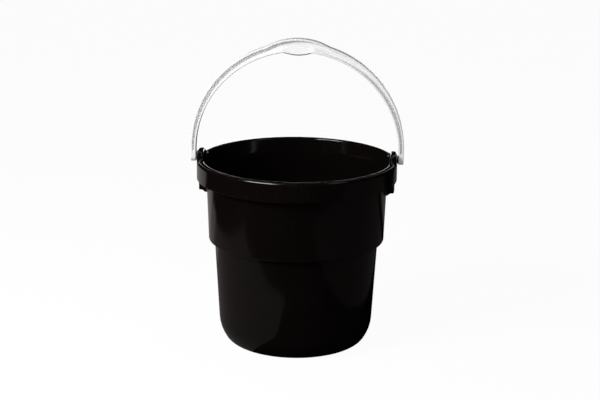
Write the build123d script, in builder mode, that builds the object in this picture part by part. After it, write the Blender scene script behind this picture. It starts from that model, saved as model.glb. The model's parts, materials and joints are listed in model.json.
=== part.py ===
"""Florist bucket: a round tapered bucket with a stepped wall and a one-piece bail handle.

Two moulded pieces. bucket_body has a deep rim skirt, an ear at each end of the X axis and a
gusset box under each ear. bail_handle is an I-section arch with a widened grip, and its two
headed pins snap into the ears.

Frame: millimetres, origin on the floor at the centre of the base, +Z up, +X through one ear,
-Y towards the front. The handle is modelled standing straight up.
"""

import os
from math import atan2, hypot, sqrt, tan

from build123d import *

# ---- bucket: overall ------------------------------------------------------------------------
height = 272.0  # floor to the flat top of the rim
rim_radius = 145.0  # outside of the rim skirt
wall = 2.2  # side wall
floor_thickness = 3.0
foot_recess = 2.5  # the middle of the base stands this far off the floor
foot_width = 7.0  # flat ring that the bucket rests on

# ---- bucket: rim and skirt ------------------------------------------------------------------
lip_width = 9.4  # from the mouth's edge to the outside of the skirt
lip_thickness = 2.8
lip_outer_round = 2.6
lip_inner_round = 2.0
skirt_height = 27.6
skirt_wall = 3.0
skirt_edge_round = 0.8
flare_height = 20.0  # the wall opens out to the mouth over this height
flare_round = 24.0

# ---- bucket: stepped, tapered wall (outside surface) ----------------------------------------
skirt_overhang = 13.7  # from the wall to the outside of the skirt
upper_taper = 3.4  # radius lost from the flare down to the step
step_ledge = 8.5  # radius lost at the step
lower_taper = 8.6  # radius lost from the step down to the floor
step_height = 154.2  # floor to the underside of the step
step_round = 1.6  # outer corner of the step
step_root_round = 1.2
belly_height = 20.0  # the wall starts to turn in here
belly_round = 54.0
base_inset = 12.0  # from the wall, carried down to the floor, to the corner of the base
base_round = 16.0
base_corner_round = 7.0  # inside corner between the floor and the wall
belly_inside_round = 40.0

# ---- bucket: ears, collars and gusset boxes -------------------------------------------------
ear_rise = 12.4  # top of the ear above the rim
ear_base_half = 28.0  # half the ear's length where it leaves the rim
ear_top_half = 11.0
ear_root_round = 10.0
ear_top_round = 9.0
ear_wall = 2.4
collar_diameter = 11.0
collar_proud = 1.7  # collar's face beyond the skirt
gusset_half_width = 22.0
gusset_drop = 14.0  # outer bottom edge below the skirt
gusset_wall = 2.2
gusset_toe = 3.5  # extra drop where the gusset meets the bucket's wall
gusset_toe_run = 4.5  # width of the sloping toe

# ---- handle: pins and arms ------------------------------------------------------------------
pivot_above_rim = 1.2
pin_diameter = 7.0
pin_clearance = 0.06  # radial, in the collar's hole
pin_head_diameter = 8.8
pin_head_thickness = 2.4
pin_head_play = 0.5  # between the head and the inside of the ear
pin_head_margin = 1.4  # free space under the head
arm_clearance = 0.4  # between the arm and the collar's face
arm_width = 6.8  # seen from the front, at the pivot
arm_corner_round = 2.0
handle_depth = 14.0

# ---- handle: arch and grip ------------------------------------------------------------------
arch_lift = 9.2  # centre of the arch's inner edge above the pivot
arch_swell = 8.0  # extra width at the top of the arch
rail_width = 2.6  # the two raised rails of the I-section
web_thickness = 4.0
recess_start = 8.5  # above the pivot
grip_half_length = 46.0
grip_rise = 3.2  # above the arch's outer edge
finger_half_length = 21.0
finger_drop = 5.5  # below the arch's inner edge

# ---- levels and radii worked out from the sizes above ---------------------------------------
skirt_bottom = height - skirt_height
skirt_inside = rim_radius - skirt_wall
lip_underside = height - lip_thickness
mouth_radius = rim_radius - lip_width
upper_top_radius = rim_radius - skirt_overhang
upper_bottom_radius = upper_top_radius - upper_taper
lower_top_radius = upper_bottom_radius - step_ledge
lower_bottom_radius = lower_top_radius - lower_taper
belly_radius = lower_bottom_radius + lower_taper * belly_height / step_height
base_radius = lower_bottom_radius - base_inset
base_turn = atan2(belly_height, belly_radius - base_radius)
foot_radius = base_radius - base_round * tan(base_turn / 2)
pivot_height = height + pivot_above_rim
pin_hole_diameter = pin_diameter + 2 * pin_clearance
collar_face = rim_radius + collar_proud
arm_inside = collar_face + arm_clearance
arm_outside = arm_inside + arm_width
inner_arch_height = pivot_height + arch_lift
outer_arch_height = inner_arch_height + arch_swell

same_radius = 0.1  # an edge this close to a radius lies on it


def inset(path, depths):
    """Corners of an open path after each stretch has moved to its left by its own depth.

    path holds (x, y) points and depths one distance for each stretch. The two ends slide square
    to their own stretch, and every other corner is where the moved neighbours meet.
    """
    moved = []
    for start, end, depth in zip(path, path[1:], depths):
        along = (Vector(*end) - Vector(*start)).normalized()
        shift = Vector(-along.Y, along.X) * depth
        moved.append((Vector(*start) + shift, along, Vector(*end) + shift))
    corners = [moved[0][0]]
    for (start, along, _), (next_start, next_along, _) in zip(moved, moved[1:]):
        gap = next_start - start
        share = gap.cross(next_along).Z / along.cross(next_along).Z
        corners.append(start + along * share)
    corners.append(moved[-1][2])
    return [(corner.X, corner.Y) for corner in corners]


def curved_edges(edges, radius, above):
    """Edges that aren't straight, lie at the given radius about Z, and are higher than above."""
    curved = edges.filter_by(GeomType.LINE, reverse=True)
    high = curved.filter_by(lambda edge: (edge @ 0.5).Z > above)
    return high.filter_by(lambda edge: abs(hypot((edge @ 0.5).X, (edge @ 0.5).Y) - radius) < same_radius)


# ---- bucket body: turned shell --------------------------------------------------------------
wall_path = [
    (0, 0),
    (base_radius, 0),
    (belly_radius, belly_height),
    (lower_top_radius, step_height),
    (upper_bottom_radius, step_height),
    (upper_top_radius, height - flare_height),
    (mouth_radius + wall, height),
]
inside_path = inset(wall_path, [foot_recess + floor_thickness] + [wall] * 5)
outside_rounds = [0, base_round, belly_round, step_root_round, step_round, flare_round]
inside_rounds = [0, base_corner_round, belly_inside_round, step_root_round + wall, step_round, flare_round]

outline = wall_path[:-1]
outline += [
    (mouth_radius + wall, lip_underside),
    (skirt_inside, lip_underside),
    (skirt_inside, skirt_bottom),
    (rim_radius, skirt_bottom),
    (rim_radius, height),
    (mouth_radius, height),
]
outline += inside_path[-2::-1]
rim_rounds = [0, 0, skirt_edge_round, skirt_edge_round, lip_outer_round, lip_inner_round]
outline_rounds = outside_rounds + rim_rounds + inside_rounds[::-1]

with BuildPart() as shell:
    with BuildSketch(Plane.XZ):
        with BuildLine():
            FilletPolyline(*outline, radius=outline_rounds, close=True)
        make_face()
    revolve(axis=Axis.Z)
    with BuildSketch():
        Circle(foot_radius - foot_width)
    extrude(amount=foot_recess, mode=Mode.SUBTRACT)

with BuildPart() as inside_space:
    with BuildSketch(Plane.XZ):
        with BuildLine():
            Polyline(*inside_path, (0, height), close=True)
        make_face()
    revolve(axis=Axis.Z)

# ---- bucket body: ear, a raised stretch of the lip ------------------------------------------
ear_bottom = lip_underside
ear_end = ear_base_half + ear_root_round
ear_outline = [
    (-ear_end, ear_bottom),
    (-ear_end, height),
    (-ear_base_half, height),
    (-ear_top_half, height + ear_rise),
    (ear_top_half, height + ear_rise),
    (ear_base_half, height),
    (ear_end, height),
    (ear_end, ear_bottom),
]
ear_rounds = [0, 0, ear_root_round, ear_top_round, ear_top_round, ear_root_round, 0, 0]

with BuildPart() as ear:
    with BuildSketch(Plane.YZ):
        with BuildLine():
            FilletPolyline(*ear_outline, radius=ear_rounds, close=True)
        make_face()
    extrude(amount=rim_radius)
    with BuildSketch(Plane.XY.offset(ear_bottom)):
        Circle(rim_radius)
        Circle(mouth_radius, mode=Mode.SUBTRACT)
    extrude(amount=lip_thickness + ear_rise, mode=Mode.INTERSECT)
    fillet(curved_edges(ear.edges(), rim_radius, ear_bottom), lip_outer_round)
    fillet(curved_edges(ear.edges(), mouth_radius, ear_bottom), lip_inner_round)

# ---- bucket body: the ear's hollow, which takes the pin's head ------------------------------
hollow_bottom = pivot_height - pin_head_diameter / 2 - pin_head_margin
hollow_top = height + ear_rise - ear_wall
hollow_top_half = ear_top_half - ear_wall
hollow_base_half = (ear_top_half + ear_base_half) / 2 - ear_wall
hollow_outline = [
    (-hollow_base_half, hollow_bottom),
    (-hollow_base_half, height),
    (-hollow_top_half, hollow_top),
    (hollow_top_half, hollow_top),
    (hollow_base_half, height),
    (hollow_base_half, hollow_bottom),
]

with BuildPart() as ear_hollow:
    with BuildSketch(Plane.YZ):
        with BuildLine():
            Polyline(*hollow_outline, close=True)
        make_face()
    extrude(amount=rim_radius)
    with BuildSketch(Plane.XY.offset(hollow_bottom)):
        Circle(skirt_inside)
        Circle(mouth_radius + ear_wall, mode=Mode.SUBTRACT)
    extrude(amount=hollow_top - hollow_bottom, mode=Mode.INTERSECT)

# ---- bucket body: gusset box under the ear --------------------------------------------------
gusset_bottom = skirt_bottom - gusset_drop
toe_radius = upper_top_radius + gusset_toe_run
gusset_side = [
    (upper_bottom_radius - step_ledge, lip_underside),
    (upper_bottom_radius - step_ledge, gusset_bottom - gusset_toe),
    (upper_top_radius, gusset_bottom - gusset_toe),
    (toe_radius, gusset_bottom),
    (rim_radius, gusset_bottom),
    (rim_radius, lip_underside),
]

with BuildPart() as gusset:
    with BuildSketch(Plane.XZ):
        with BuildLine():
            Polyline(*gusset_side, close=True)
        make_face()
    extrude(amount=gusset_half_width, both=True)
    with BuildSketch(Plane.XY.offset(gusset_bottom - gusset_toe)):
        Circle(skirt_inside)
    extrude(amount=height, mode=Mode.INTERSECT)
    with BuildSketch(Plane.XY.offset(gusset_bottom - gusset_toe)):
        Circle(skirt_inside - gusset_wall)
        Rectangle(2 * rim_radius, 2 * (gusset_half_width - gusset_wall), mode=Mode.INTERSECT)
    extrude(amount=height, mode=Mode.SUBTRACT)
    add(inside_space.part, mode=Mode.SUBTRACT)

# ---- bucket body: everything joined ---------------------------------------------------------
with BuildPart() as bucket_body:
    add(shell.part)
    with PolarLocations(0, 2):
        add(ear.part)
        add(gusset.part)
    for side in (Plane.YZ, Plane.ZY):
        with BuildSketch(side.offset(skirt_inside)):
            with Locations(side.to_local_coords(Vector(0, 0, pivot_height))):
                Circle(collar_diameter / 2)
        extrude(amount=skirt_wall + collar_proud)
    with PolarLocations(0, 2):
        add(ear_hollow.part, mode=Mode.SUBTRACT)
    for side in (Plane.YZ, Plane.ZY):
        with BuildSketch(side.offset(mouth_radius + ear_wall)):
            with Locations(side.to_local_coords(Vector(0, 0, pivot_height))):
                Circle(pin_hole_diameter / 2)
        extrude(amount=rim_radius, mode=Mode.SUBTRACT)

# ---- bail handle: front outline and the recess between its rails ----------------------------
outer_apex = outer_arch_height + arm_outside
inner_apex = inner_arch_height + arm_inside
grip_end_height = outer_arch_height + sqrt(arm_outside**2 - grip_half_length**2)
finger_end_height = inner_arch_height + sqrt(arm_inside**2 - finger_half_length**2)

with BuildSketch(Plane.XZ) as handle_front:
    with BuildLine():
        CenterArc((0, outer_arch_height), arm_outside, 0, 180)
        Polyline((-arm_outside, outer_arch_height), (-arm_outside, pivot_height), (-arm_inside, pivot_height))
        Line((-arm_inside, pivot_height), (-arm_inside, inner_arch_height))
        CenterArc((0, inner_arch_height), arm_inside, 0, 180)
        Polyline((arm_inside, inner_arch_height), (arm_inside, pivot_height), (arm_outside, pivot_height))
        Line((arm_outside, pivot_height), (arm_outside, outer_arch_height))
    make_face()
    with BuildLine():
        crown = ThreePointArc(
            (-grip_half_length, grip_end_height),
            (0, outer_apex + grip_rise),
            (grip_half_length, grip_end_height),
        )
        Line(crown @ 1, crown @ 0)
    make_face()
    with BuildLine():
        rest = ThreePointArc(
            (-finger_half_length, finger_end_height),
            (0, inner_apex - finger_drop),
            (finger_half_length, finger_end_height),
        )
        Polyline(
            rest @ 1,
            (finger_half_length, inner_apex + rail_width),
            (-finger_half_length, inner_apex + rail_width),
            rest @ 0,
        )
    make_face()

with BuildSketch(Plane.XZ) as recess_front:
    add(handle_front.sketch_local)
    offset(amount=-rail_width, kind=Kind.INTERSECTION, mode=Mode.REPLACE)
    with Locations((0, pivot_height)):
        Rectangle(3 * arm_outside, 2 * recess_start, mode=Mode.SUBTRACT)

# ---- bail handle: I-section arch, eyes and headed pins --------------------------------------
pin_neck_end = skirt_inside - pin_head_play

with BuildPart() as bail_handle:
    with BuildSketch(Plane.XZ):
        add(handle_front.sketch_local)
    extrude(amount=handle_depth / 2, both=True)
    for side in (Plane.YZ, Plane.ZY):
        with BuildSketch(side.offset(arm_inside)):
            with Locations(side.to_local_coords(Vector(0, 0, pivot_height))):
                Circle(handle_depth / 2)
        extrude(amount=arm_width)
    tips = bail_handle.edges().filter_by(GeomType.CIRCLE)
    fillet(tips.filter_by(lambda edge: abs((edge @ 0.5).X) > arm_outside - arm_width / 2), arm_corner_round)
    for face_side in (1, -1):
        with BuildSketch(Plane.XZ.offset(face_side * web_thickness / 2)):
            add(recess_front.sketch_local)
        extrude(amount=face_side * (handle_depth - web_thickness) / 2, mode=Mode.SUBTRACT)
    for side in (Plane.YZ, Plane.ZY):
        with BuildSketch(side.offset(pin_neck_end)):
            with Locations(side.to_local_coords(Vector(0, 0, pivot_height))):
                Circle(pin_diameter / 2)
        extrude(amount=arm_inside - pin_neck_end)
        with BuildSketch(side.offset(pin_neck_end - pin_head_thickness)):
            with Locations(side.to_local_coords(Vector(0, 0, pivot_height))):
                Circle(pin_head_diameter / 2)
        extrude(amount=pin_head_thickness)

# ---- write the pieces -----------------------------------------------------------------------
os.makedirs("parts", exist_ok=True)
bucket_body.part.label = "bucket_body"
bail_handle.part.label = "bail_handle"
export_step(bucket_body.part, "parts/bucket_body.step")
export_step(bail_handle.part, "parts/bail_handle.step")
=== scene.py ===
"""Florist bucket: the black bucket and its white bail handle, with their finishes and studio.

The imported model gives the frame: metres, +Z up, +X through one ear, -Y towards the front. The
sizes below are millimetres, and MeshBuilder turns them into metres when it writes a mesh.
"""

from __future__ import annotations

import json
import logging
import math
from dataclasses import dataclass, field
from enum import Enum
from typing import Any, Mapping, Sequence

import bmesh
import bpy
import numpy as np
from mathutils import Matrix, Quaternion, Vector


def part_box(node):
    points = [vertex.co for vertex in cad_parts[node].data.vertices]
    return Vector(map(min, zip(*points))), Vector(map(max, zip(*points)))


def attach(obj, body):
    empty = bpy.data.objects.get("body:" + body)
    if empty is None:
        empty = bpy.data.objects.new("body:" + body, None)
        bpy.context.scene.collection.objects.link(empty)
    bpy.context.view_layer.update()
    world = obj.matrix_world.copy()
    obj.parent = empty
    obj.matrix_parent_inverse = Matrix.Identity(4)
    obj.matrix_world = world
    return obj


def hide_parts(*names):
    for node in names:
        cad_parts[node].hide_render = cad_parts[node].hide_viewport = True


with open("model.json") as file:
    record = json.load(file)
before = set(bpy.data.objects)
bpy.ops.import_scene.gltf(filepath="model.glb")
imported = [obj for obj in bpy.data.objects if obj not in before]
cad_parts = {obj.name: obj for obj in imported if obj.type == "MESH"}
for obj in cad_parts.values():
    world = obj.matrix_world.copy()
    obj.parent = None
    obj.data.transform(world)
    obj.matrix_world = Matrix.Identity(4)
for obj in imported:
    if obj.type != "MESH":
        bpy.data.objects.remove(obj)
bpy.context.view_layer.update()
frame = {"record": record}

MM = 0.001
FAR = 1e3
Array = np.ndarray
Triple = tuple[float, float, float]
log = logging.getLogger("florist_bucket")


class Slot(Enum):
    """The record's material slots."""

    BLACK = "black_moulding"
    WHITE = "white_moulding"


class Reach(Enum):
    """What a light shows in: everything, matt surfaces alone, or reflections alone."""

    EVERYTHING = "everything"
    MATT_ONLY = "matt only"
    GLOSS_ONLY = "gloss only"


class Body(Enum):
    """The bodies that the pieces ride on."""

    BUCKET = "bucket"
    HANDLE = "handle"


# ---- curves ---------------------------------------------------------------------------------


def smooth_step(low: float, high: float, value: Array) -> Array:
    """Go from 0 at low to 1 at high along 3t^2 - 2t^3.

    Args:
        low: where the step starts.
        high: where the step ends.
        value: the numbers to read the step at.

    Returns:
        The step's height at each number.
    """
    share = np.clip((value - low) / (high - low), 0.0, 1.0)
    return share * share * (3.0 - 2.0 * share)


def soft_larger(first: Array, second: Array, blend: float) -> Array:
    """The larger of two curves, rounded where they cross.

    Where the gap between the two is less than the blend, the square of what it lacks, over four
    times the blend, is added to the larger. Elsewhere the larger stays as it is.

    Args:
        first: one curve's values.
        second: the other's.
        blend: how wide the rounding is, in the curves' own unit.

    Returns:
        The rounded larger value.
    """
    gap = np.abs(first - second)
    ridge = 0.25 * np.clip(blend - gap, 0.0, None) ** 2 / blend
    return np.maximum(first, second) + ridge


@dataclass
class RoundedPath:
    """An open path of straight runs and arcs, sampled finely at its arcs.

    A corner of turn t and radius r is left r * tan(t / 2) before it, and the points then follow
    the circle of that radius. Each point's key is its corner's number on an arc, and lies between
    two corners' numbers on a run.
    """

    corners: Sequence[tuple[float, float]]
    radii: Sequence[float]
    arc_step: float = math.radians(10.0)
    run_step: float = 13.0
    near_arc: tuple[float, float] = (0.3, 0.8)

    def sample(self) -> tuple[Array, Array]:
        """Work out the points.

        Returns:
            The points, one row each, and their keys.
        """
        corners = np.asarray(self.corners, float)
        points, keys = [corners[:1]], [np.zeros(1)]
        leaving = corners[0]
        for number in range(1, len(corners)):
            arc = self._arc(corners, number)
            run = self._run(leaving, arc[0])
            points += [run, arc]
            keys += [number - 1 + np.linspace(0, 1, len(run) + 2)[1:-1], np.full(len(arc), float(number))]
            leaving = arc[-1]
        return np.concatenate(points), np.concatenate(keys)

    def _arc(self, corners: Array, number: int) -> Array:
        """The points of one corner's arc, or the corner itself at the path's end."""
        corner = corners[number]
        if number == len(corners) - 1 or self.radii[number] == 0:
            return corner[None]
        into = corner - corners[number - 1]
        out = corners[number + 1] - corner
        into, out = into / np.linalg.norm(into), out / np.linalg.norm(out)
        turn = math.atan2(into[0] * out[1] - into[1] * out[0], into @ out)
        radius = self.radii[number]
        start = corner - into * radius * math.tan(abs(turn) / 2)
        spoke = math.copysign(radius, turn) * np.array([into[1], -into[0]])
        angles = np.linspace(0, turn, max(3, math.ceil(abs(turn) / self.arc_step) + 1))[:, None]
        across = np.array([-spoke[1], spoke[0]])
        return start - spoke + spoke * np.cos(angles) + across * np.sin(angles)

    def _run(self, start: Array, end: Array) -> Array:
        """The inner points of one straight run: even ones, and some beside each arc."""
        length = float(np.linalg.norm(end - start))
        even = np.linspace(0, length, max(2, math.ceil(length / self.run_step)) + 1)[1:-1]
        near = np.array(self.near_arc)
        if length > 4 * near[-1]:
            kept = even[(even > 2 * near[-1]) & (even < length - 2 * near[-1])]
            even = np.concatenate([near, kept, length - near[::-1]])
        return start + (end - start) * even[:, None] / length


# ---- meshes ---------------------------------------------------------------------------------


@dataclass
class MeshBuilder:
    """Collects grids of points and writes them as one smooth mesh in metres."""

    name: str
    points: list[Array] = field(default_factory=list)
    faces: list[Array] = field(default_factory=list)
    count: int = 0

    def grid(self, points: Array, wrap_columns: bool = False) -> None:
        """Add a grid of points with a four-sided face in each cell.

        Args:
            points: rows x columns x 3, in millimetres.
            wrap_columns: whether the last column joins the first.
        """
        rows, columns = points.shape[:2]
        row = np.arange(rows - 1)[:, None]
        column = np.arange(columns if wrap_columns else columns - 1)[None]
        next_row, next_column = row + 1, (column + 1) % columns
        corners = [
            row * columns + column,
            row * columns + next_column,
            next_row * columns + next_column,
            next_row * columns + column,
        ]
        self.faces.append(np.stack(corners, axis=-1).reshape(-1, 4) + self.count)
        self.points.append(points.reshape(-1, 3))
        self.count += rows * columns

    def write(self, flat_above: float = math.radians(50.0)) -> bpy.types.Object:
        """Merge the seams and poles, turn the faces outwards and make the object.

        Args:
            flat_above: edges that turn by more than this stay sharp.

        Returns:
            The object, at the origin.
        """
        points = np.concatenate(self.points) * MM
        faces = np.concatenate(self.faces)
        mesh = bpy.data.meshes.new(self.name)
        mesh.vertices.add(len(points))
        mesh.vertices.foreach_set("co", points.astype(np.float32).ravel())
        mesh.loops.add(faces.size)
        mesh.loops.foreach_set("vertex_index", faces.astype(np.int32).ravel())
        mesh.polygons.add(len(faces))
        mesh.polygons.foreach_set("loop_start", np.arange(0, faces.size, 4, dtype=np.int32))
        mesh.update(calc_edges=True)
        form = bmesh.new()
        form.from_mesh(mesh)
        bmesh.ops.remove_doubles(form, verts=form.verts, dist=0.002 * MM)
        bmesh.ops.dissolve_degenerate(form, edges=form.edges, dist=0.001 * MM)
        bmesh.ops.recalc_face_normals(form, faces=form.faces)
        form.to_mesh(mesh)
        form.free()
        mesh.validate()
        mesh.shade_smooth()
        mesh.set_sharp_from_angle(angle=flat_above)
        piece = bpy.data.objects.new(self.name, mesh)
        bpy.context.scene.collection.objects.link(piece)
        log.info("%s: %d faces", self.name, len(mesh.polygons))
        return piece


def turned(profile: Array, columns: int) -> Array:
    """Turn a (radius, height) profile about the Z axis.

    Each point becomes a circle: x is the radius times the cosine of the angle, y the radius times
    its sine, and z the height.

    Args:
        profile: points x 2.
        columns: how many steps go round.

    Returns:
        Points x columns x 3.
    """
    angle = np.arange(columns) * (2 * math.pi / columns)
    radius, height = profile[:, :1], profile[:, 1:]
    return np.stack([radius * np.cos(angle), radius * np.sin(angle), height + 0 * angle], axis=-1)


# ---- shader graphs --------------------------------------------------------------------------


class Value:
    """A number socket. Arithmetic on it adds Math nodes."""

    def __init__(self, graph: Graph, socket: bpy.types.NodeSocket) -> None:
        """Wrap a socket of a graph."""
        self.graph = graph
        self.socket = socket

    def math(self, operation: str, *others: Any) -> Value:
        """Add one Math node whose first input is this value."""
        inputs = dict(enumerate((self, *others)))
        return self.graph.node("ShaderNodeMath", {"operation": operation}, inputs)

    def __add__(self, other: Any) -> Value:
        """The sum."""
        return self.math("ADD", other)

    def __sub__(self, other: Any) -> Value:
        """The difference."""
        return self.math("SUBTRACT", other)

    def __mul__(self, other: Any) -> Value:
        """The product."""
        return self.math("MULTIPLY", other)

    def __rsub__(self, other: float) -> Value:
        """A number less this value."""
        return self.graph.node("ShaderNodeMath", {"operation": "SUBTRACT"}, {0: other, 1: self})

    __radd__ = __add__
    __rmul__ = __mul__

    def __abs__(self) -> Value:
        """The size without its sign."""
        return self.math("ABSOLUTE")

    def between(self, low: float, high: float) -> Value:
        """0 at low, 1 at high, and a smooth step between them."""
        settings = {"interpolation_type": "SMOOTHSTEP"}
        return self.graph.node("ShaderNodeMapRange", settings, {0: self, 1: low, 2: high})


@dataclass(frozen=True)
class Pattern:
    """Fractal noise: how fine, detailed, rough and bent it is, and the levels to cut it to."""

    scale: float
    detail: float = 2.0
    rough: float = 0.5
    bend: float = 0.0
    levels: tuple[float, float] | None = None


class Graph:
    """A material's node graph."""

    def __init__(self, name: str) -> None:
        """Start an empty material."""
        self.material = bpy.data.materials.new(name)
        self.material.use_nodes = True
        self.tree = self.material.node_tree
        self.tree.nodes.clear()

    def node(
        self, kind: str, settings: Mapping[str, Any] | None = None,
        inputs: Mapping[Any, Any] | None = None, output: int | str = 0,
    ) -> Value:
        """Add one node.

        Args:
            kind: the node's type.
            settings: its properties, set before its inputs.
            inputs: numbers, colours or Values for its sockets, by name or number.
            output: which output to wrap.

        Returns:
            The wrapped output.
        """
        made = self.tree.nodes.new(kind)
        for key, value in (settings or {}).items():
            setattr(made, key, value)
        for key, value in (inputs or {}).items():
            if isinstance(value, Value):
                self.tree.links.new(value.socket, made.inputs[key])
            else:
                made.inputs[key].default_value = value
        return Value(self, made.outputs[output])

    def place(self, scale: Triple = (1, 1, 1), turn: Triple = (0, 0, 0)) -> Value:
        """The piece's own coordinates, stretched and turned."""
        own = self.node("ShaderNodeTexCoord", output="Object")
        return self.node("ShaderNodeMapping", None, {"Vector": own, "Scale": scale, "Rotation": turn})

    def noise(self, place: Value, pattern: Pattern) -> Value:
        """Fractal noise from 0 to 1, stretched between its pattern's levels where it has them."""
        made = self.node("ShaderNodeTexNoise", None, {
            "Vector": place,
            "Scale": pattern.scale,
            "Detail": pattern.detail,
            "Roughness": pattern.rough,
            "Distortion": pattern.bend,
        })
        return made.between(*pattern.levels) if pattern.levels else made

    def blend(self, share: Value, first: Triple, second: Triple) -> Value:
        """Mix two colours: the Mix node's inputs 6 and 7, and its output 2, counted from 0."""
        inputs = {"Factor": share, 6: (*first, 1.0), 7: (*second, 1.0)}
        return self.node("ShaderNodeMix", {"data_type": "RGBA"}, inputs, output=2)

    def bump(self, height: Value, depth: float, under: Value | None = None) -> Value:
        """Raise the surface by a height from 0 to 1 times depth, in metres."""
        inputs: dict[str, Any] = {"Height": height, "Distance": depth, "Strength": 1.0}
        if under is not None:
            inputs["Normal"] = under
        return self.node("ShaderNodeBump", None, inputs)

    def finish(self, inputs: Mapping[str, Any]) -> bpy.types.Material:
        """Add the Principled shader and the output, and give the material."""
        shader = self.node("ShaderNodeBsdfPrincipled", None, inputs)
        self.node_to_output(shader)
        return self.material

    def node_to_output(self, shader: Value) -> None:
        """Join a shader to the material's output."""
        out = self.tree.nodes.new("ShaderNodeOutputMaterial")
        self.tree.links.new(shader.socket, out.inputs["Surface"])


# ---- finishes -------------------------------------------------------------------------------


PLASTIC_IOR = 1.49


@dataclass(frozen=True)
class GlossyBlack:
    """Glossy black polypropylene: soft flow waves, orange peel, hairline scuffs and thin dust."""

    deep: Triple = (0.0030, 0.0021, 0.0019)
    worn: Triple = (0.0090, 0.0072, 0.0066)
    gloss: float = 0.09
    dull: float = 0.36
    wave_depth: float = 0.10 * MM
    peel_depth: float = 0.012 * MM
    scuff_depth: float = 0.010 * MM
    waves: Pattern = Pattern(9.0, 1.0)
    peel: Pattern = Pattern(650.0)
    patches: Pattern = Pattern(16.0, 3.0, 0.6, 0.4, (0.42, 0.68))
    dust: Pattern = Pattern(240.0, 4.0, 0.7, levels=(0.55, 0.85))
    mottle: Pattern = Pattern(34.0, 4.0, 0.6)
    streaks: Pattern = Pattern(1.0, 2.0, 0.5, 0.15)
    streak_stretch: Triple = (260.0, 260.0, 3.0)
    streak_turns: tuple[Triple, Triple] = ((0.0, 0.62, 0.0), (0.5, -0.9, 0.3))
    second_streaks: float = 0.7
    hairline: float = 0.012
    tint_shares: Triple = (0.55, 0.35, 0.12)
    dull_shares: Triple = (0.5, 0.35, 0.22)

    def material(self) -> bpy.types.Material:
        """Build the material."""
        graph = Graph("black_plastic")
        place = graph.place()
        patches = graph.noise(place, self.patches)
        first, second = (self._hairlines(graph, turn) for turn in self.streak_turns)
        wear = (first + second * self.second_streaks) * patches
        dust = graph.noise(place, self.dust) * patches
        marks = (wear, dust, graph.noise(place, self.mottle))
        bumps = graph.bump(graph.noise(place, self.waves), self.wave_depth)
        bumps = graph.bump(graph.noise(place, self.peel), self.peel_depth, bumps)
        bumps = graph.bump(1.0 - wear, self.scuff_depth, bumps)
        return graph.finish({
            "Base Color": graph.blend(self._sum(marks, self.tint_shares), self.deep, self.worn),
            "Roughness": self.gloss + self._sum(marks, self.dull_shares) * (self.dull - self.gloss),
            "Normal": bumps,
            "Specular IOR Level": 0.5,
            "IOR": PLASTIC_IOR,
        })

    @staticmethod
    def _sum(marks: Sequence[Value], shares: Sequence[float]) -> Value:
        """The wear, dust and mottling, each times its share."""
        wear, dust, mottle = (mark * share for mark, share in zip(marks, shares))
        return wear + dust + mottle

    def _hairlines(self, graph: Graph, turn: Triple) -> Value:
        """Thin lines: noise stretched nearly a hundredfold one way, cut close to its middle level."""
        streaks = graph.noise(graph.place(self.streak_stretch, turn), self.streaks)
        return 1.0 - abs(streaks - 0.5).between(0.0, self.hairline)


@dataclass(frozen=True)
class SatinWhite:
    """Satin white polypropylene: faint mottling, a fine mould grain and a parting line."""

    clean: Triple = (0.88, 0.88, 0.875)
    handled: Triple = (0.80, 0.80, 0.79)
    gloss: float = 0.30
    dull: float = 0.46
    grain_depth: float = 0.005 * MM
    ripple_depth: float = 0.08 * MM
    seam_depth: float = 0.06 * MM
    seam_half: float = 0.35 * MM
    grain: Pattern = Pattern(520.0)
    ripple: Pattern = Pattern(60.0)
    handling: Pattern = Pattern(45.0, 4.0, 0.6, levels=(0.45, 0.80))
    specks: Pattern = Pattern(420.0, 3.0, 0.7, levels=(0.62, 0.80))
    handling_tint: float = 0.4
    specks_tint: float = 0.2
    handling_dull: float = 0.6
    grain_dull: float = 0.4

    def material(self) -> bpy.types.Material:
        """Build the material."""
        graph = Graph("white_plastic")
        place = graph.place()
        grain = graph.noise(place, self.grain)
        handling = graph.noise(place, self.handling)
        specks = graph.noise(place, self.specks)
        front_to_back = graph.node("ShaderNodeSeparateXYZ", None, {"Vector": place}, output="Y")
        seam = 1.0 - abs(front_to_back).between(0.0, self.seam_half)
        bumps = graph.bump(graph.noise(place, self.ripple), self.ripple_depth)
        bumps = graph.bump(grain, self.grain_depth, bumps)
        bumps = graph.bump(seam, self.seam_depth, bumps)
        tint = handling * self.handling_tint + specks * self.specks_tint
        rough = handling * self.handling_dull + grain * self.grain_dull
        return graph.finish({
            "Base Color": graph.blend(tint, self.clean, self.handled),
            "Roughness": self.gloss + rough * (self.dull - self.gloss),
            "Normal": bumps,
            "Specular IOR Level": 0.3,
            "IOR": PLASTIC_IOR,
        })


@dataclass(frozen=True)
class PaleSweep:
    """The pale studio floor, lit evenly from within the paper so that its shadows stay soft."""

    tone: Triple = (0.05, 0.05, 0.05)
    glow: float = 0.955
    dull: float = 0.9
    fleck: Pattern = Pattern(90.0, 3.0)
    fleck_level: float = 0.985

    def material(self) -> bpy.types.Material:
        """Build the material."""
        graph = Graph("pale_sweep")
        fleck = graph.noise(graph.place(), self.fleck)
        darker = tuple(level * self.fleck_level for level in self.tone)
        return graph.finish({
            "Base Color": graph.blend(fleck, self.tone, darker),
            "Roughness": self.dull,
            "Specular IOR Level": 0.0,
            "Emission Color": (1.0, 1.0, 1.0, 1.0),
            "Emission Strength": self.glow,
        })


# ---- bucket ---------------------------------------------------------------------------------


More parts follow.
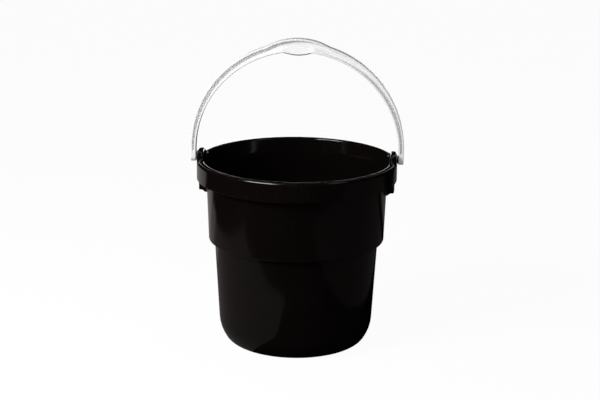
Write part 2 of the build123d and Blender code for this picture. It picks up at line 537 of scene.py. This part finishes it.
@dataclass
class Bucket:
    """The moulded bucket: a turned shell with two raised ears, their collars and gusset boxes."""

    rim_radius: float
    pivot: float
    pivot_above_rim: float = 1.2
    wall: float = 2.2
    floor_thickness: float = 3.0
    foot_recess: float = 2.5
    foot_width: float = 7.0
    foot_round: float = 0.8
    lip_width: float = 9.4
    lip_thickness: float = 2.8
    lip_outer_round: float = 4.0
    lip_inner_round: float = 3.6
    lip_root_round: float = 0.6
    skirt_height: float = 27.6
    skirt_wall: float = 3.0
    skirt_edge_round: float = 0.8
    skirt_overhang: float = 13.7
    flare_height: float = 20.0
    flare_round: float = 24.0
    upper_taper: float = 3.4
    step_ledge: float = 8.5
    lower_taper: float = 8.6
    step_height: float = 154.2
    step_round: float = 1.6
    step_root_round: float = 1.2
    belly_height: float = 20.0
    belly_round: float = 54.0
    belly_inside_round: float = 40.0
    base_inset: float = 12.0
    base_round: float = 16.0
    base_corner_round: float = 7.0
    gate_radius: float = 2.2
    gate_drop: float = 1.2
    gate_round: float = 0.3
    ear_rise: float = 11.8
    ear_base_half: float = 28.0
    ear_top_half: float = 11.0
    ear_root_round: float = 10.0
    ear_top_round: float = 12.0
    ear_wall: float = 2.4
    hollow_drop_run: float = 1.5
    lift_near: float = 0.3
    lift_far: float = 0.8
    collar_radius: float = 5.5
    collar_proud: float = 1.7
    collar_edge_round: float = 0.4
    hole_radius: float = 3.56
    gusset_half: float = 22.0
    gusset_drop: float = 16.0
    gusset_wall: float = 2.2
    gusset_toe: float = 3.5
    gusset_toe_run: float = 4.5
    gusset_edge_round: float = 0.5
    gusset_corner_round: float = 1.6
    gusset_into_lip: float = 0.5
    gusset_rib_start: float = 2.0
    gusset_foot_steps: int = 5
    gusset_levels: int = 14
    gusset_front_steps: int = 13
    columns: int = 340
    collar_columns: int = 96

    @property
    def height(self) -> float:
        """Floor to the top of the rim."""
        return self.pivot - self.pivot_above_rim

    @property
    def upper_top(self) -> float:
        """Radius of the wall where it starts to flare."""
        return self.rim_radius - self.skirt_overhang

    @property
    def wall_corners(self) -> list[tuple[float, float]]:
        """Corners of the outside of the base and wall, from the axis to the mouth."""
        upper_bottom = self.upper_top - self.upper_taper
        lower_top = upper_bottom - self.step_ledge
        lower_bottom = lower_top - self.lower_taper
        belly = lower_bottom + self.lower_taper * self.belly_height / self.step_height
        return [
            (0.0, 0.0),
            (lower_bottom - self.base_inset, 0.0),
            (belly, self.belly_height),
            (lower_top, self.step_height),
            (upper_bottom, self.step_height),
            (self.upper_top, self.height - self.flare_height),
            (self.rim_radius - self.lip_width + self.wall, self.height),
        ]

    def build(self) -> list[bpy.types.Object]:
        """Build the shell, the collars and the gusset boxes.

        Returns:
            The three pieces.
        """
        return [self._shell(), self._collars(), self._gussets()]

    def dress(self, pieces: Sequence[bpy.types.Object], material: bpy.types.Material) -> None:
        """Finish the pieces and put them on the bucket's body.

        Args:
            pieces: what build made.
            material: the black plastic.
        """
        for piece in pieces:
            piece.data.materials.append(material)
            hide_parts("bucket_body")
            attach(piece, Body.BUCKET.value)

    def _inside_corners(self) -> list[tuple[float, float]]:
        """The wall's corners moved inwards by its thickness, and the base's by the floor's.

        Each stretch of the path moves square to itself, and a new corner is where the moved
        neighbours cross.
        """
        path = np.array(self.wall_corners)
        along = np.diff(path, axis=0)
        along /= np.linalg.norm(along, axis=1)[:, None]
        depth = np.full((len(along), 1), self.wall)
        depth[0] = self.foot_recess + self.floor_thickness
        left = np.stack([-along[:, 1], along[:, 0]], axis=1) * depth
        start, end = path[:-1] + left, path[1:] + left
        gap = start[1:] - start[:-1]
        cross = along[:-1, 0] * along[1:, 1] - along[:-1, 1] * along[1:, 0]
        share = (gap[:, 0] * along[1:, 1] - gap[:, 1] * along[1:, 0]) / cross
        met = start[:-1] + along[:-1] * share[:, None]
        return [tuple(start[0]), *map(tuple, met), tuple(end[-1])]

    def _profile(self) -> tuple[Array, Array]:
        """The shell's closed outline from the underside, up the outside, and down the inside."""
        outside, inside = self.wall_corners, self._inside_corners()
        foot_angle = math.atan2(outside[2][1], outside[2][0] - outside[1][0])
        foot = outside[1][0] - self.base_round * math.tan(foot_angle / 2) - self.foot_width
        underside = self.height - self.lip_thickness
        skirt_bottom = self.height - self.skirt_height
        skirt_inside = self.rim_radius - self.skirt_wall
        gate = self.foot_recess - self.gate_drop
        corners = [
            ((0.0, gate), 0.0),
            ((self.gate_radius, gate), self.gate_round),
            ((self.gate_radius, self.foot_recess), self.gate_round),
            ((foot, self.foot_recess), self.foot_round),
            ((foot, 0.0), self.foot_round),
            (outside[1], self.base_round),
            (outside[2], self.belly_round),
            (outside[3], self.step_root_round),
            (outside[4], self.step_round),
            (outside[5], self.flare_round),
            ((outside[6][0], underside), self.lip_root_round),
            ((skirt_inside, underside), self.lip_root_round),
            ((skirt_inside, skirt_bottom), self.skirt_edge_round),
            ((self.rim_radius, skirt_bottom), self.skirt_edge_round),
            ((self.rim_radius, self.height), self.lip_outer_round),
            (inside[6], self.lip_inner_round),
            (inside[5], self.flare_round),
            (inside[4], self.step_round),
            (inside[3], self.step_root_round + self.wall),
            (inside[2], self.belly_inside_round),
            (inside[1], self.base_corner_round),
            ((0.0, inside[0][1]), 0.0),
        ]
        return RoundedPath([corner for corner, _ in corners], [radius for _, radius in corners]).sample()

    def _ear(self, along: Array) -> Array:
        """Height of the ear's top above the rim at a distance from its middle.

        It is a trapezium whose two upper corners are rounded outwards and two feet inwards: a
        flat top, an arc of the top round, a straight slope, an arc of the root round, and nothing.
        """
        distance = np.abs(along)
        slope = math.atan2(self.ear_rise, self.ear_base_half - self.ear_top_half)
        top_start = self.ear_top_half - self.ear_top_round * math.tan(slope / 2)
        root_end = self.ear_base_half + self.ear_root_round * math.tan(slope / 2)
        top_dip = np.clip(distance - top_start, 0, self.ear_top_round * math.sin(slope))
        top = self.ear_rise - self.ear_top_round + np.sqrt(self.ear_top_round**2 - top_dip**2)
        root_dip = np.clip(root_end - distance, 0, self.ear_root_round * math.sin(slope))
        root = self.ear_root_round - np.sqrt(self.ear_root_round**2 - root_dip**2)
        ramp = (self.ear_base_half - distance) * math.tan(slope)
        past_top = distance > top_start + self.ear_top_round * math.sin(slope)
        past_ramp = distance > root_end - self.ear_root_round * math.sin(slope)
        return np.where(past_ramp, root, np.where(past_top, ramp, top))

    def _hollow(self, along: Array) -> Array:
        """Depth of the hollow under the ear: flat, then a slope, then a quick drop to nothing."""
        distance = np.abs(along)
        roof = self.lip_thickness + self.ear_rise - self.ear_wall
        flat = self.ear_top_half - self.ear_wall
        foot = (self.ear_top_half + self.ear_base_half) / 2 - self.ear_wall
        level = np.interp(distance, [flat, foot], [roof, self.lip_thickness])
        return level * (1.0 - smooth_step(foot, foot + self.hollow_drop_run, distance))

    def _shell(self) -> bpy.types.Object:
        """Turn the outline about Z, then lift the lip's top and underside into the two ears.

        The lift comes in over a short stretch of the lip's outer and inner face, and the hollow
        over one of its underside and the skirt's inner face. Keys are corners of the outline.
        """
        profile, key = self._profile()
        points = turned(profile, self.columns)
        radius, height = profile[:, 0], profile[:, 1]
        near, far = self.lift_near, self.lift_far
        lip_root, skirt_root, skirt_foot, lip_outer, lip_inner, wall_inner = 10, 11, 12, 14, 15, 16
        outer_start = self.height - self.lip_outer_round
        inner_start = height[key == lip_inner][-1]
        hollow_start = self.rim_radius - self.lip_width + self.ear_wall
        skirt_start = self.height - self.lip_thickness - self.lip_root_round
        lifted = np.select(
            [
                (key > lip_outer - 1) & (key < lip_outer),
                (key >= lip_outer) & (key <= lip_inner),
                (key > lip_inner) & (key < wall_inner),
            ],
            [
                np.clip((height - outer_start + far) / (far - near), 0, 1),
                1.0,
                np.clip((height - inner_start + far) / (far - near), 0, 1),
            ],
            0.0,
        )
        hollowed = np.select(
            [
                (key > lip_root) & (key < skirt_root),
                key == skirt_root,
                (key > skirt_root) & (key < skirt_foot),
            ],
            [
                np.clip((radius - hollow_start) / near, 0, 1),
                1.0,
                np.clip((height - skirt_start + far) / (far - near), 0, 1),
            ],
            0.0,
        )
        points[..., 2] += lifted[:, None] * self._ear(points[..., 1])
        points[..., 2] += hollowed[:, None] * self._hollow(points[..., 1])
        builder = MeshBuilder("bucket_shell")
        builder.grid(points, wrap_columns=True)
        return builder.write()

    def _collars(self) -> bpy.types.Object:
        """Turn a rounded ring about the pivot's axis, once on each ear."""
        face = self.rim_radius + self.collar_proud
        back = self.rim_radius - self.skirt_wall / 2
        corners = [
            (self.hole_radius, back),
            (self.hole_radius, face),
            (self.collar_radius, face),
            (self.collar_radius, back),
            (self.hole_radius, back),
        ]
        radii = [0, self.collar_edge_round, self.collar_edge_round, 0, 0]
        ring, _ = RoundedPath(corners, radii, run_step=1.2, near_arc=(0.1, 0.25)).sample()
        points = turned(ring, self.collar_columns)
        builder = MeshBuilder("ear_collars")
        for side in (1, -1):
            placed = np.stack([side * points[..., 2], points[..., 0], points[..., 1] + self.pivot], axis=-1)
            builder.grid(placed, wrap_columns=True)
        return builder.write()

    def _gussets(self) -> bpy.types.Object:
        """Carry a tall rounded strip along a U: out along one rib, round the front, and back.

        The strip's foot drops where the ribs meet the wall, and each rib's end follows the wall's
        slope, so that it stays inside the wall's thickness.
        """
        half = self.gusset_wall / 2
        front = self.rim_radius - self.skirt_wall - half
        side = self.gusset_half - half
        corner_x = math.sqrt(front**2 - side**2)
        root = self.upper_top - self.wall
        bow = np.linspace(-1, 1, self.gusset_front_steps)[1:-1] * math.asin(side / front)
        plan = [(root, -side), (corner_x, -side)]
        plan += [(front * math.cos(angle), front * math.sin(angle)) for angle in bow]
        plan += [(corner_x, side), (root, side)]
        rounds = [0.0, self.gusset_corner_round] + [0.0] * len(bow) + [self.gusset_corner_round, 0.0]
        path, _ = RoundedPath(plan, rounds, math.radians(12), run_step=2.5, near_arc=(0.3, 0.6)).sample()
        tangent = np.gradient(path, axis=0)
        tangent /= np.linalg.norm(tangent, axis=1)[:, None]
        outward = np.stack([tangent[:, 1], -tangent[:, 0]], axis=1)
        foot = self.gusset_edge_round
        offset, lift, share = self._gusset_strip(half, foot)
        bottom = self.height - self.skirt_height - self.gusset_drop
        toe_radius = self.upper_top + self.gusset_toe_run
        toe = np.clip((toe_radius - path[:, 0]) / self.gusset_toe_run, 0, 1)
        base = (bottom - self.gusset_toe * toe)[:, None]
        total = self.height - self.lip_thickness + self.gusset_into_lip - base
        z = base + lift + share * (total - foot)
        flare = np.interp(z, [self.height - self.flare_height, self.height],
                          [0.0, self.skirt_overhang - self.lip_width + self.wall])
        rib_end = corner_x - self.gusset_rib_start
        along_rib = np.clip((rib_end - path[:, 0]) / (rib_end - root), 0, 1)[:, None]
        x = path[:, :1] + outward[:, :1] * offset + flare * along_rib
        y = path[:, 1:] + outward[:, 1:] * offset
        points = np.stack([x, y, z], axis=-1)
        builder = MeshBuilder("gusset_boxes")
        for side_sign in (1, -1):
            placed = points * np.array([side_sign, side_sign, 1])
            builder.grid(placed, wrap_columns=True)
            for end in (placed[:1], placed[-1:]):
                middle = end.mean(axis=1, keepdims=True)
                builder.grid(np.concatenate([end, np.broadcast_to(middle, end.shape)]), wrap_columns=True)
        return builder.write()

    def _gusset_strip(self, half: float, foot: float) -> tuple[Array, Array, Array]:
        """The strip's closed section: up one face from its rounded foot, over the top, and down.

        Args:
            half: half of the strip's thickness.
            foot: the radius of its lower edges.

        Returns:
            The distance out, the height in the rounded foot, and the share of the height above it.
        """
        turn = np.linspace(0, math.pi / 2, self.gusset_foot_steps)
        out = half - foot + foot * np.sin(turn)
        up = foot - foot * np.cos(turn)
        climb = np.linspace(0, 1, self.gusset_levels)[1:]
        face = np.concatenate([[0.0], out, np.full(len(climb), half)])
        lift = np.concatenate([[0.0], up, np.full(len(climb), foot)])
        share = np.concatenate([[0.0], 0 * up, climb])
        offset = np.concatenate([face, [0.0], -face[:0:-1]])
        lift = np.concatenate([lift, [foot], lift[:0:-1]])
        share = np.concatenate([share, [1.0], share[:0:-1]])
        return offset, lift, share


# ---- handle ---------------------------------------------------------------------------------


@dataclass
class BailHandle:
    """The moulded bail: an I-section arch with a raised grip, round eyes and headed pins."""

    pivot: float
    crown_height: float
    arm_outside: float
    arm_width: float = 7.5
    depth: float = 14.0
    arch_lift: float = 9.2
    arch_swell: float = 6.0
    crown_radius: float = 92.0
    crown_blend: float = 0.5
    finger_half: float = 21.0
    finger_end_drop: float = 1.5
    finger_drop: float = 5.5
    finger_blend: float = 0.4
    finger_bevel: float = 2.4
    finger_taper: float = 0.43
    rail_width: float = 2.6
    web: float = 4.0
    recess_start: float = 8.5
    recess_run: float = 2.5
    corner_round: float = 1.1
    rail_round: float = 0.7
    root_round: float = 0.75
    root_fit: float = 0.98
    web_steps: int = 8
    dish: float = 0.75
    dish_half: float = 48.0
    dish_full: float = 0.45
    finger_full: float = 0.75
    least_space: float = 0.1
    pin_radius: float = 3.5
    pin_root_round: float = 0.2
    pin_sunk: float = 0.2
    head_radius: float = 4.4
    head_start: float = 139.1
    head_end: float = 141.5
    head_round: float = 0.4
    stations: int = 420
    leg_stations: int = 12
    eye_steps: int = 33
    pin_columns: int = 64
    side_cosine: float = 0.5

    @property
    def arm_inside(self) -> float:
        """From the axis to the arm's inner face."""
        return self.arm_outside - self.arm_width

    def build(self) -> list[bpy.types.Object]:
        """Build the arch and the pins.

        Returns:
            The two pieces.
        """
        return [self._arch(), self._pins()]

    def dress(self, pieces: Sequence[bpy.types.Object], material: bpy.types.Material) -> None:
        """Finish the pieces and put them on the handle's body.

        Args:
            pieces: what build made.
            material: the white plastic.
        """
        for piece in pieces:
            piece.data.materials.append(material)
            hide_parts("bail_handle")
            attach(piece, Body.HANDLE.value)

    def _section(self) -> tuple[Array, Array, Array, Array]:
        """One quarter of the I-section, from the middle of the inner face to the middle of the web.

        Returns:
            Across the arm: a fixed distance and a share of the space between the rails. Out from
            the middle plane: a distance, and how far into the recess the point lies, 0 to 1.
        """
        half = self.depth / 2
        corners = [
            (0.0, 0.0), (0.0, half), (self.rail_width, half), (self.rail_width, self.web / 2),
            (self.rail_width + self.root_round, self.web / 2),
        ]
        radii = [0, self.corner_round, self.rail_round, self.root_round * self.root_fit, 0]
        path, key = RoundedPath(corners, radii, math.radians(15), 2.0, (0.12, 0.3)).sample()
        rail_edge = 2
        into = np.where(key >= rail_edge, (half - path[:, 1]) / (half - self.web / 2), 0.0)
        out = np.where(key >= rail_edge, half, path[:, 1])
        web = np.ones(self.web_steps)
        across = np.concatenate([path[:, 0], path[-1, 0] * web])
        spread = np.concatenate([np.zeros(len(path)), np.linspace(0, 0.5, self.web_steps + 1)[1:]])
        return across, spread, np.concatenate([out, half * web]), np.concatenate([into, web])

    def _loop(self) -> tuple[Array, Array, Array, Array]:
        """The whole section: fixed distance, share of the width, distance out, and recess.

        The quarter is mirrored about the web's middle, which turns a distance from the inner face
        into one from the outer face, and then about the middle plane.
        """
        across, spread, out, into = self._section()
        back = slice(-2, None, -1)
        fixed = np.concatenate([across, -across[back]])
        share = np.concatenate([spread, 1.0 - spread[back]])
        out = np.concatenate([out, out[back]])
        into = np.concatenate([into, into[back]])
        mirror = slice(-2, 0, -1)
        halves = [(fixed, 1), (share, 1), (-out, -1), (into, 1)]
        fixed, share, out, into = (np.concatenate([one, one[mirror] * sign]) for one, sign in halves)
        return fixed, share, out, into

    def _route(self) -> dict[str, Array]:
        """Stations along the arch, from one eye over the grip to the other.

        At each station a line runs out from a centre at angle a. Its distance to the inner edge is
        the inner radius, or that of the finger rest's circle where this is nearer. Its distance to
        the outer edge solves the circle of the outer arch, whose centre is higher, or of the
        crown, whichever is further.
        """
        centre = self.pivot + self.arch_lift
        angle = np.linspace(0, math.pi, self.stations)
        sine, cosine = np.sin(angle), np.cos(angle)
        arch = self.arch_swell * sine + np.sqrt(self.arm_outside**2 - (self.arch_swell * cosine) ** 2)
        below = arch * sine < self.arch_swell
        arch = np.where(below, self.arm_outside / np.maximum(np.abs(cosine), self.side_cosine), arch)
        rise = self.crown_height - self.crown_radius - centre
        crown = rise * sine + np.sqrt(np.clip(self.crown_radius**2 - (rise * cosine) ** 2, 0, None))
        crown = np.where(np.abs(cosine) < self.side_cosine, crown, 0.0)
        outer = soft_larger(arch, crown, self.crown_blend)
        sag = self.finger_drop - self.finger_end_drop
        rest_radius = (self.finger_half**2 + sag**2) / (2 * sag)
        rest_centre = self.arm_inside - self.finger_drop + rest_radius
        rest = rest_centre * sine - np.sqrt(np.clip(rest_radius**2 - (rest_centre * cosine) ** 2, 0, None))
        rest = np.where(np.abs(rest_centre * cosine) < rest_radius, rest, FAR)
        inner = -soft_larger(-np.full_like(angle, self.arm_inside), -rest, self.finger_blend)
        legs = np.linspace(0, 1, self.leg_stations, endpoint=False)
        heights = self.pivot + legs * self.arch_lift
        one = np.ones_like(legs)
        return {
            "centre": np.concatenate([heights, np.full_like(angle, centre), heights[::-1]]),
            "sine": np.concatenate([0 * one, sine, 0 * one]),
            "cosine": np.concatenate([one, cosine, -one]),
            "inner": np.concatenate([one * self.arm_inside, inner, one * self.arm_inside]),
            "outer": np.concatenate([one * self.arm_outside, outer, one * self.arm_outside]),
        }

    def _arch(self) -> bpy.types.Object:
        """Carry the I-section along the route, and close each eye with half a turn of its end.

        The recess fades in above the eyes. On the grip it fills towards the inner rail as the
        square of the distance from the outer one, and the finger rest's lower edge narrows.
        """
        route = {name: values[:, None] for name, values in self._route().items()}
        fixed, share, out, into = self._loop()
        width = route["outer"] - route["inner"]
        rail = self.rail_width + self.root_round
        space = width - 2 * rail
        across = np.where(share <= 0.5, fixed + share * space, width + fixed - (1 - share) * space)
        reach = route["inner"] + across
        x = reach * route["cosine"]
        z = route["centre"] + reach * route["sine"]
        aside = np.abs(x)
        above = z > self.pivot + self.arm_inside / 2
        depth = smooth_step(self.recess_start, self.recess_start + self.recess_run, z - self.pivot)
        grip = above * (1.0 - smooth_step(self.dish_full * self.dish_half, self.dish_half, aside))
        level = np.clip((across - rail) / np.maximum(space, self.least_space), 0, 1)
        fill = 1.0 - self.dish * grip * (1.0 - level) ** 2
        y = out * (1.0 - into * depth * fill * (1.0 - self.web / self.depth))
        rest = above * (1.0 - smooth_step(self.finger_full * self.finger_half, self.finger_half, aside))
        y = y * (1.0 - self.finger_taper * rest * np.clip(1.0 - across / self.finger_bevel, 0, 1))
        points = np.stack([x, y, z], axis=-1)
        builder = MeshBuilder("bail_arch")
        builder.grid(points, wrap_columns=True)
        half_loop = len(fixed) // 2 + 1
        sweep = np.linspace(0, math.pi, self.eye_steps)[:, None]
        for end in (points[0], points[-1]):
            edge = end[:half_loop]
            radius = -edge[:, 1]
            eye = np.stack([
                edge[:, 0] + 0 * sweep,
                -radius * np.cos(sweep),
                self.pivot - radius * np.sin(sweep),
            ], axis=-1)
            builder.grid(eye)
        return builder.write()

    def _pins(self) -> bpy.types.Object:
        """Turn a headed pin about the pivot's axis, one inside each arm."""
        corners = [
            (0.0, self.head_start), (self.head_radius, self.head_start), (self.head_radius, self.head_end),
            (self.pin_radius, self.head_end), (self.pin_radius, self.arm_inside + self.pin_sunk),
            (0.0, self.arm_inside + self.pin_sunk),
        ]
        radii = [0, self.head_round, self.head_round, self.pin_root_round, 0, 0]
        profile, _ = RoundedPath(corners, radii, run_step=1.5, near_arc=(0.1, 0.25)).sample()
        points = turned(profile, self.pin_columns)
        builder = MeshBuilder("bail_pins")
        for side in (1, -1):
            placed = np.stack([side * points[..., 2], points[..., 0], points[..., 1] + self.pivot], axis=-1)
            builder.grid(placed, wrap_columns=True)
        return builder.write()


# ---- studio ---------------------------------------------------------------------------------


UP = (0.0, 0.0, 1.0)
WARM = (1.0, 0.90, 0.87)


@dataclass(frozen=True)
class SoftBox:
    """One soft light: where it stands, its size and its power.

    A light that only reflections show is a glowing sheet, because a lamp would be sampled for the
    matt surfaces too and make them noisy.
    """

    name: str
    place: Triple
    size: tuple[float, float]
    power: float
    facing: Triple | None = None
    reaches: Reach = Reach.EVERYTHING
    tint: Triple = (1.0, 1.0, 1.0)

    def build(self, aim: Vector) -> None:
        """Put the light up, facing its own way or else the aim.

        Args:
            aim: the middle of the object.
        """
        ahead = Vector(self.facing) if self.facing else aim - Vector(self.place)
        turn = ahead.to_track_quat("-Z", "Y")
        holder = self._sheet(turn) if self.reaches is Reach.GLOSS_ONLY else self._lamp(turn)
        holder.visible_glossy = self.reaches is not Reach.MATT_ONLY
        holder.visible_diffuse = self.reaches is not Reach.GLOSS_ONLY
        holder.visible_camera = False
        bpy.context.scene.collection.objects.link(holder)

    def _lamp(self, turn: Quaternion) -> bpy.types.Object:
        """An area lamp."""
        lamp = bpy.data.lights.new(self.name, "AREA")
        lamp.shape = "RECTANGLE"
        lamp.size, lamp.size_y = self.size
        lamp.energy = self.power
        lamp.color = self.tint
        holder = bpy.data.objects.new(self.name, lamp)
        holder.location = self.place
        holder.rotation_euler = turn.to_euler()
        return holder

    def _sheet(self, turn: Quaternion) -> bpy.types.Object:
        """A glowing rectangle as bright as the lamp: its power over pi times its area."""
        signs = ((-1, -1), (1, -1), (1, 1), (-1, 1))
        half = [side / 2 for side in self.size]
        corners = [Vector(self.place) + turn @ Vector((x * half[0], y * half[1], 0)) for x, y in signs]
        mesh = bpy.data.meshes.new(self.name)
        mesh.from_pydata(corners, [], [(0, 1, 2, 3)])
        graph = Graph(self.name)
        strength = self.power / (math.pi * self.size[0] * self.size[1])
        glow = graph.node("ShaderNodeEmission", None, {"Color": (*self.tint, 1.0), "Strength": strength})
        graph.node_to_output(glow)
        graph.material.cycles.emission_sampling = "NONE"
        mesh.materials.append(graph.material)
        sheet = bpy.data.objects.new(self.name, mesh)
        sheet.visible_shadow = False
        return sheet


@dataclass
class Studio:
    """The floor, the lights, the surroundings and the camera."""

    floor_half: float = 9.0
    floor_points: int = 81
    floor_flat: float = 2.0
    floor_lift: float = 0.35
    azimuth: float = math.radians(2.3)
    elevation: float = math.radians(15.37)
    roll: float = math.radians(0.62)
    distance: float = 2.2
    focal_length: float = 90.46
    sensor_width: float = 36.0
    aim_right: float = 4.98 * MM
    aim_height: float = 209.88 * MM
    ambient: float = 0.24
    lights: tuple[SoftBox, ...] = (
        SoftBox("key", (-0.98, -0.80, 0.95), (0.55, 0.42), 19.0, None, Reach.MATT_ONLY),
        SoftBox("key_gloss", (-0.80, -0.73, 1.45), (0.80, 0.45), 20.0, None, Reach.GLOSS_ONLY),
        SoftBox("fill_front", (-0.20, -1.70, 0.60), (0.90, 0.70), 5.0, None, Reach.MATT_ONLY),
        SoftBox("card_right", (1.00, -0.42, 1.85), (0.50, 0.40), 0.9, None, Reach.GLOSS_ONLY),
        SoftBox("paper_front", (-0.33, -0.01, 0.001), (0.54, 0.62), 0.114, UP, Reach.GLOSS_ONLY, WARM),
        SoftBox("paper_back", (-0.44, 0.44, 0.001), (0.40, 0.28), 0.085, UP, Reach.GLOSS_ONLY, WARM),
        SoftBox("paper_far", (-0.525, 0.94, 0.001), (0.95, 0.92), 1.02, UP, Reach.GLOSS_ONLY, WARM),
        SoftBox("paper_right", (0.34, 0.85, 0.001), (0.56, 0.60), 0.11, UP, Reach.GLOSS_ONLY, WARM),
        SoftBox("paper_dim", (0.90, -0.10, 0.001), (1.30, 1.10), 0.156, UP, Reach.GLOSS_ONLY, WARM),
        SoftBox("back_wall", (-0.20, 2.60, 0.20), (2.20, 0.70), 13.0, (0, -1, 0), Reach.GLOSS_ONLY),
    )

    def build(self) -> None:
        """Build the floor, the lights, the world and the camera."""
        aim = Vector((0.0, 0.0, self.aim_height))
        self._floor()
        self._world()
        for light in self.lights:
            light.build(aim)
        self._camera()
        bpy.context.scene.view_settings.view_transform = "Standard"

    def _floor(self) -> None:
        """A gently rising sheet: flat near the object, and lifting as the cube of the distance."""
        steps = np.linspace(-1, 1, self.floor_points)
        x, y = np.meshgrid(steps * self.floor_half, steps * self.floor_half, indexing="ij")
        lift = self.floor_lift * np.clip((y - self.floor_flat) / self.floor_half, 0, 1) ** 3
        builder = MeshBuilder("floor_sweep")
        builder.grid(np.stack([x, y, lift], axis=-1) / MM)
        floor = builder.write()
        if sum(face.normal.z for face in floor.data.polygons) < 0:
            floor.data.flip_normals()
        floor.data.materials.append(PaleSweep().material())
        floor.visible_glossy = False
        floor.visible_diffuse = False

    def _world(self) -> None:
        """An even, dim surround that lights matt surfaces and leaves the gloss dark."""
        world = bpy.data.worlds.new("surround")
        world.use_nodes = True
        background = world.node_tree.nodes["Background"]
        background.inputs["Color"].default_value = (1.0, 1.0, 1.0, 1.0)
        background.inputs["Strength"].default_value = self.ambient
        bpy.context.scene.world = world
        world.cycles_visibility.glossy = False
        world.cycles.sampling_method = "NONE"

    def _camera(self) -> None:
        """Stand the camera off the aim point along the view's azimuth and elevation."""
        right = Vector((math.cos(self.azimuth), math.sin(self.azimuth), 0.0))
        aim = right * self.aim_right + Vector((0.0, 0.0, self.aim_height))
        away = Vector((
            math.sin(self.azimuth) * math.cos(self.elevation),
            -math.cos(self.azimuth) * math.cos(self.elevation),
            math.sin(self.elevation),
        ))
        lens = bpy.data.cameras.new("camera")
        lens.sensor_width = self.sensor_width
        lens.lens = self.focal_length
        camera = bpy.data.objects.new("camera", lens)
        turn = (-away).to_track_quat("-Z", "Y").to_matrix().to_4x4()
        roll = Matrix.Rotation(self.roll, 4, "Z")
        camera.matrix_world = Matrix.Translation(aim + away * self.distance) @ turn @ roll
        bpy.context.scene.collection.objects.link(camera)
        bpy.context.scene.camera = camera


# ---- everything -----------------------------------------------------------------------------


def main() -> None:
    """Build the bucket, the handle and the studio."""
    logging.basicConfig(level=logging.INFO, format="%(name)s: %(message)s")
    pivot = frame["record"]["behaviour"]["joints"][0]["pos_m"][2] / MM
    body_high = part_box("bucket_body")[1]
    handle_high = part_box("bail_handle")[1]
    bucket = Bucket(rim_radius=body_high[1] / MM, pivot=pivot)
    bucket.dress(bucket.build(), GlossyBlack().material())
    handle = BailHandle(pivot=pivot, crown_height=handle_high[2] / MM, arm_outside=handle_high[0] / MM)
    handle.dress(handle.build(), SatinWhite().material())
    Studio().build()


if __name__ == "__main__":
    main()
